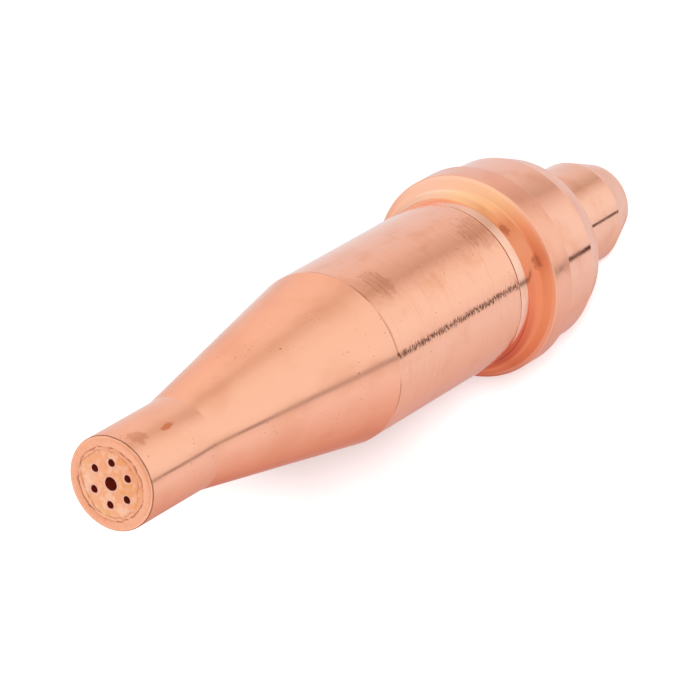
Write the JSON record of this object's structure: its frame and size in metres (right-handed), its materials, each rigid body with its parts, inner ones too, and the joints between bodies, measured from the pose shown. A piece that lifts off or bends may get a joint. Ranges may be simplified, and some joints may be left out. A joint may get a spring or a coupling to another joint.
{
  "type": "oxy-fuel cutting tip",
  "caption": "One-piece copper gas nozzle: swaged nose with a ring of small orifices round a central one, long cone, round body, flared collar, and a spigot with two conical seats.",
  "frame": {"origin": "centre of the spigot's end, on the surface that the tip stands on", "axes": "+Z along the tip's axis, from the seat end towards the flame face; +X through one preheat orifice"},
  "size_m": [0.019, 0.019, 0.0762],
  "materials": {
    "copper": "turned and brushed bright copper"
  },
  "bodies": {
    "root": {"cutting_tip": "copper"}
  },
  "joints": []
}
